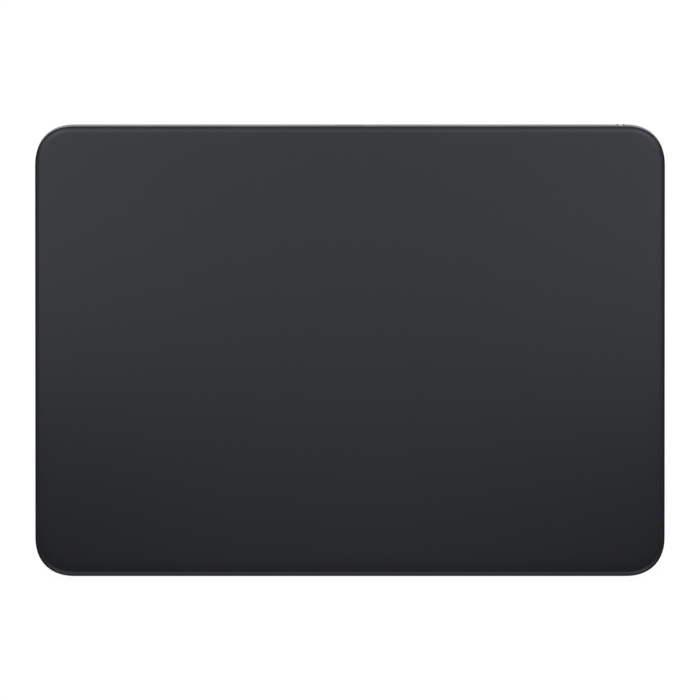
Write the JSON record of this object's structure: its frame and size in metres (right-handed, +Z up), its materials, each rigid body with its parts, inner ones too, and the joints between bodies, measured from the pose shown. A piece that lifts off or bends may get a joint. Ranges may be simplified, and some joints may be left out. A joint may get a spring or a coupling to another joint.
{
  "type": "desktop trackpad",
  "caption": "Flat wedge-shaped desktop trackpad with a black full-face touch plate on force beams, a metal housing, a charging port and a power slider in the back wall.",
  "frame": {"origin": "on the desk under the middle of the body's footprint, at the underside of the feet", "axes": "+X to the right and +Y to the back as seen in use, +Z up"},
  "size_m": [0.16, 0.1149, 0.0108],
  "materials": {
    "coated_glass": "etched satin face with an opaque black coating",
    "clear_film": "pale adhesive film",
    "circuit_board": "green solder mask",
    "chip_plastic": "moulded black",
    "socket_plastic": "moulded cream",
    "sheet_steel": "bright rolled sheet",
    "magnet_steel": "dark laminated steel",
    "clear_gel": "soft translucent gel",
    "foot_rubber": "matte dark grey",
    "gauge_film": "amber foil film",
    "screw_steel": "plated",
    "anodised_aluminium": "fine bead-blasted, clear anodised",
    "dark_aluminium": "fine bead-blasted, dark anodised",
    "base_plastic": "fine-textured light grey",
    "copper_winding": "enamelled copper wire",
    "flex_film": "amber polyimide film",
    "cell_foil": "laminated foil pouch",
    "lead_red": "red insulation",
    "lead_black": "black insulation"
  },
  "bodies": {
    "base": {"battery_tape": "clear_film", "main_board": "circuit_board", "port_board": "circuit_board", "switch_board": "circuit_board", "battery_guard_board": "circuit_board", "controller_chip": "chip_plastic", "charger_chip": "chip_plastic", "haptic_driver_chip": "chip_plastic", "antenna_chip": "chip_plastic", "port_tongue": "chip_plastic", "switch_frame": "chip_plastic", "flex_sockets": "socket_plastic", "haptic_terminals": "socket_plastic", "battery_plug": "socket_plastic", "haptic_bracket": "sheet_steel", "radio_shield": "sheet_steel", "port_shell": "sheet_steel", "force_beam_front_left": "sheet_steel", "force_beam_front_right": "sheet_steel", "force_beam_rear_left": "sheet_steel", "force_beam_rear_right": "sheet_steel", "haptic_core": "magnet_steel", "foot_front_left": "foot_rubber", "foot_front_right": "foot_rubber", "foot_rear_left": "foot_rubber", "foot_rear_right": "foot_rubber", "strain_gauges": "gauge_film", "beam_screws": "screw_steel", "base_screws": "screw_steel", "haptic_screws": "screw_steel", "board_screws": "screw_steel", "housing": "anodised_aluminium", "base_plate": "base_plastic", "haptic_coil_front": "copper_winding", "haptic_coil_rear": "copper_winding", "haptic_flex": "flex_film", "sensor_flex": "flex_film", "port_flex": "flex_film", "switch_flex": "flex_film", "battery_cell": "cell_foil", "battery_lead_positive": "lead_red", "battery_lead_negative": "lead_black"},
    "plate_carrier": {"gel_pad_front_left": "clear_gel", "gel_pad_front_right": "clear_gel", "gel_pad_rear_left": "clear_gel", "gel_pad_rear_right": "clear_gel"},
    "touch_plate": {"touch_glass": "coated_glass", "glass_film": "clear_film", "sensor_board": "circuit_board", "touch_controllers": "chip_plastic", "sensor_socket": "socket_plastic", "stiffener_plate": "sheet_steel", "landing_shims": "sheet_steel", "haptic_armature": "magnet_steel"},
    "power_slider": {"switch_slider": "socket_plastic", "switch_knob": "dark_aluminium"}
  },
  "joints": [
    {"name": "plate_press", "type": "slide", "parent": "base", "child": "plate_carrier", "axis": [0, 0.0524, -0.9986], "range_m": [0, 0.00015], "stiffness_N_per_m": 8000, "springref_m": -0.0003, "deforming": ["force_beam_front_left", "force_beam_front_right", "force_beam_rear_left", "force_beam_rear_right", "sensor_flex"]},
    {"name": "haptic_shift", "type": "slide", "parent": "plate_carrier", "child": "touch_plate", "axis": [1, 0, 0], "range_m": [-0.0001, 0.0001], "stiffness_N_per_m": 8000, "deforming": ["sensor_flex"]},
    {"name": "power_slide", "type": "slide", "parent": "base", "child": "power_slider", "axis": [1, 0, 0], "range_m": [-0.0021, 0]}
  ]
}
